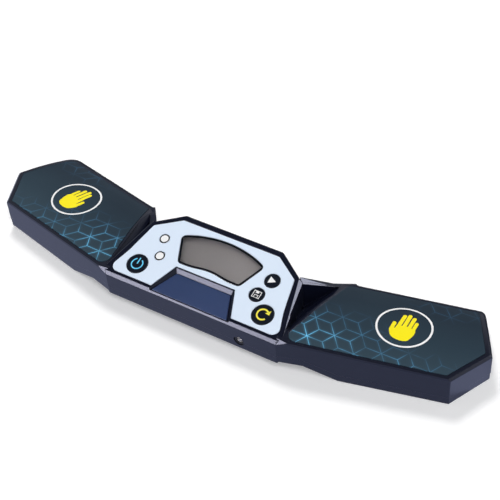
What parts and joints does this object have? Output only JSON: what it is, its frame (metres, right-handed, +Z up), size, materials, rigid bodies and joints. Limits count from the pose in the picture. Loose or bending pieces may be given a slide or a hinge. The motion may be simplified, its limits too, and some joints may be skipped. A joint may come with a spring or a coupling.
{
  "type": "speed cube timer",
  "caption": "Swept tabletop timer with a touch pad on each wing, a tilted display block with buttons and indicator lights, a front data socket and a sliding battery cover.",
  "frame": {"origin": "bottom centre of the body's bounding box, on the table under the feet", "axes": "+X to the user's right along the body, +Y away from the user, +Z up"},
  "size_m": [0.281, 0.0746, 0.0302],
  "materials": {
    "shell": "satin",
    "lower_shell": "satin",
    "face_print": "printed, semi-gloss",
    "accent_print": "printed, semi-gloss",
    "pad_film": "printed, fine matte",
    "foil": "rolled",
    "lead": "smooth",
    "lens": "polished",
    "display_glass": "polished",
    "display_frame": "moulded",
    "connector": "striped",
    "board": "solder mask",
    "chip": "moulded",
    "buzzer": "moulded",
    "switch": "moulded",
    "led": "clear",
    "light_window": "diffusing",
    "button": "satin",
    "plunger": "moulded",
    "socket": "moulded",
    "cell": "printed wrapper",
    "contact": "nickel plated",
    "cover": "satin",
    "screw": "black zinc",
    "foot": "matte"
  },
  "bodies": {
    "case": {"top_shell": "shell", "bottom_shell": "lower_shell", "face_plate": "face_print", "accent_panel": "accent_print", "left_touch_pad": "pad_film", "right_touch_pad": "pad_film", "left_sensor_foil": "foil", "right_sensor_foil": "foil", "left_sensor_lead": "lead", "right_sensor_lead": "lead", "display_lens": "lens", "display_glass": "display_glass", "display_frame": "display_frame", "display_connector": "connector", "main_board": "board", "controller_chip": "chip", "buzzer": "buzzer", "switch_housings": "switch", "indicator_leds": "led", "ready_light_window": "light_window", "start_light_window": "light_window", "data_socket": "socket", "front_cell": "cell", "back_cell": "cell", "cell_bridge": "contact", "positive_contact": "contact", "negative_contact": "contact", "front_cell_spring": "contact", "back_cell_spring": "contact", "board_screws": "screw", "case_screws": "screw", "rubber_feet": "foot"},
    "power_button": {"power_button": "button", "power_plunger": "plunger"},
    "play_button": {"play_button": "button", "play_plunger": "plunger"},
    "save_button": {"save_button": "button", "save_plunger": "plunger"},
    "reset_button": {"reset_button": "button", "reset_plunger": "plunger"},
    "battery_cover": {"battery_cover": "cover"}
  },
  "joints": [
    {"name": "power_press", "type": "slide", "parent": "case", "child": "power_button", "axis": [0, 0.2351, -0.972], "range_m": [0, 0.0004], "stiffness_N_per_m": 2000, "springref_m": -0.0001},
    {"name": "play_press", "type": "slide", "parent": "case", "child": "play_button", "axis": [0, 0.2351, -0.972], "range_m": [0, 0.0004], "stiffness_N_per_m": 2000, "springref_m": -0.0001},
    {"name": "save_press", "type": "slide", "parent": "case", "child": "save_button", "axis": [0, 0.2351, -0.972], "range_m": [0, 0.0004], "stiffness_N_per_m": 2000, "springref_m": -0.0001},
    {"name": "reset_press", "type": "slide", "parent": "case", "child": "reset_button", "axis": [0, 0.2351, -0.972], "range_m": [0, 0.0004], "stiffness_N_per_m": 2000, "springref_m": -0.0001},
    {"name": "battery_cover_slide", "type": "slide", "parent": "case", "child": "battery_cover", "axis": [0, 1, 0], "range_m": [0, 0.024]}
  ]
}
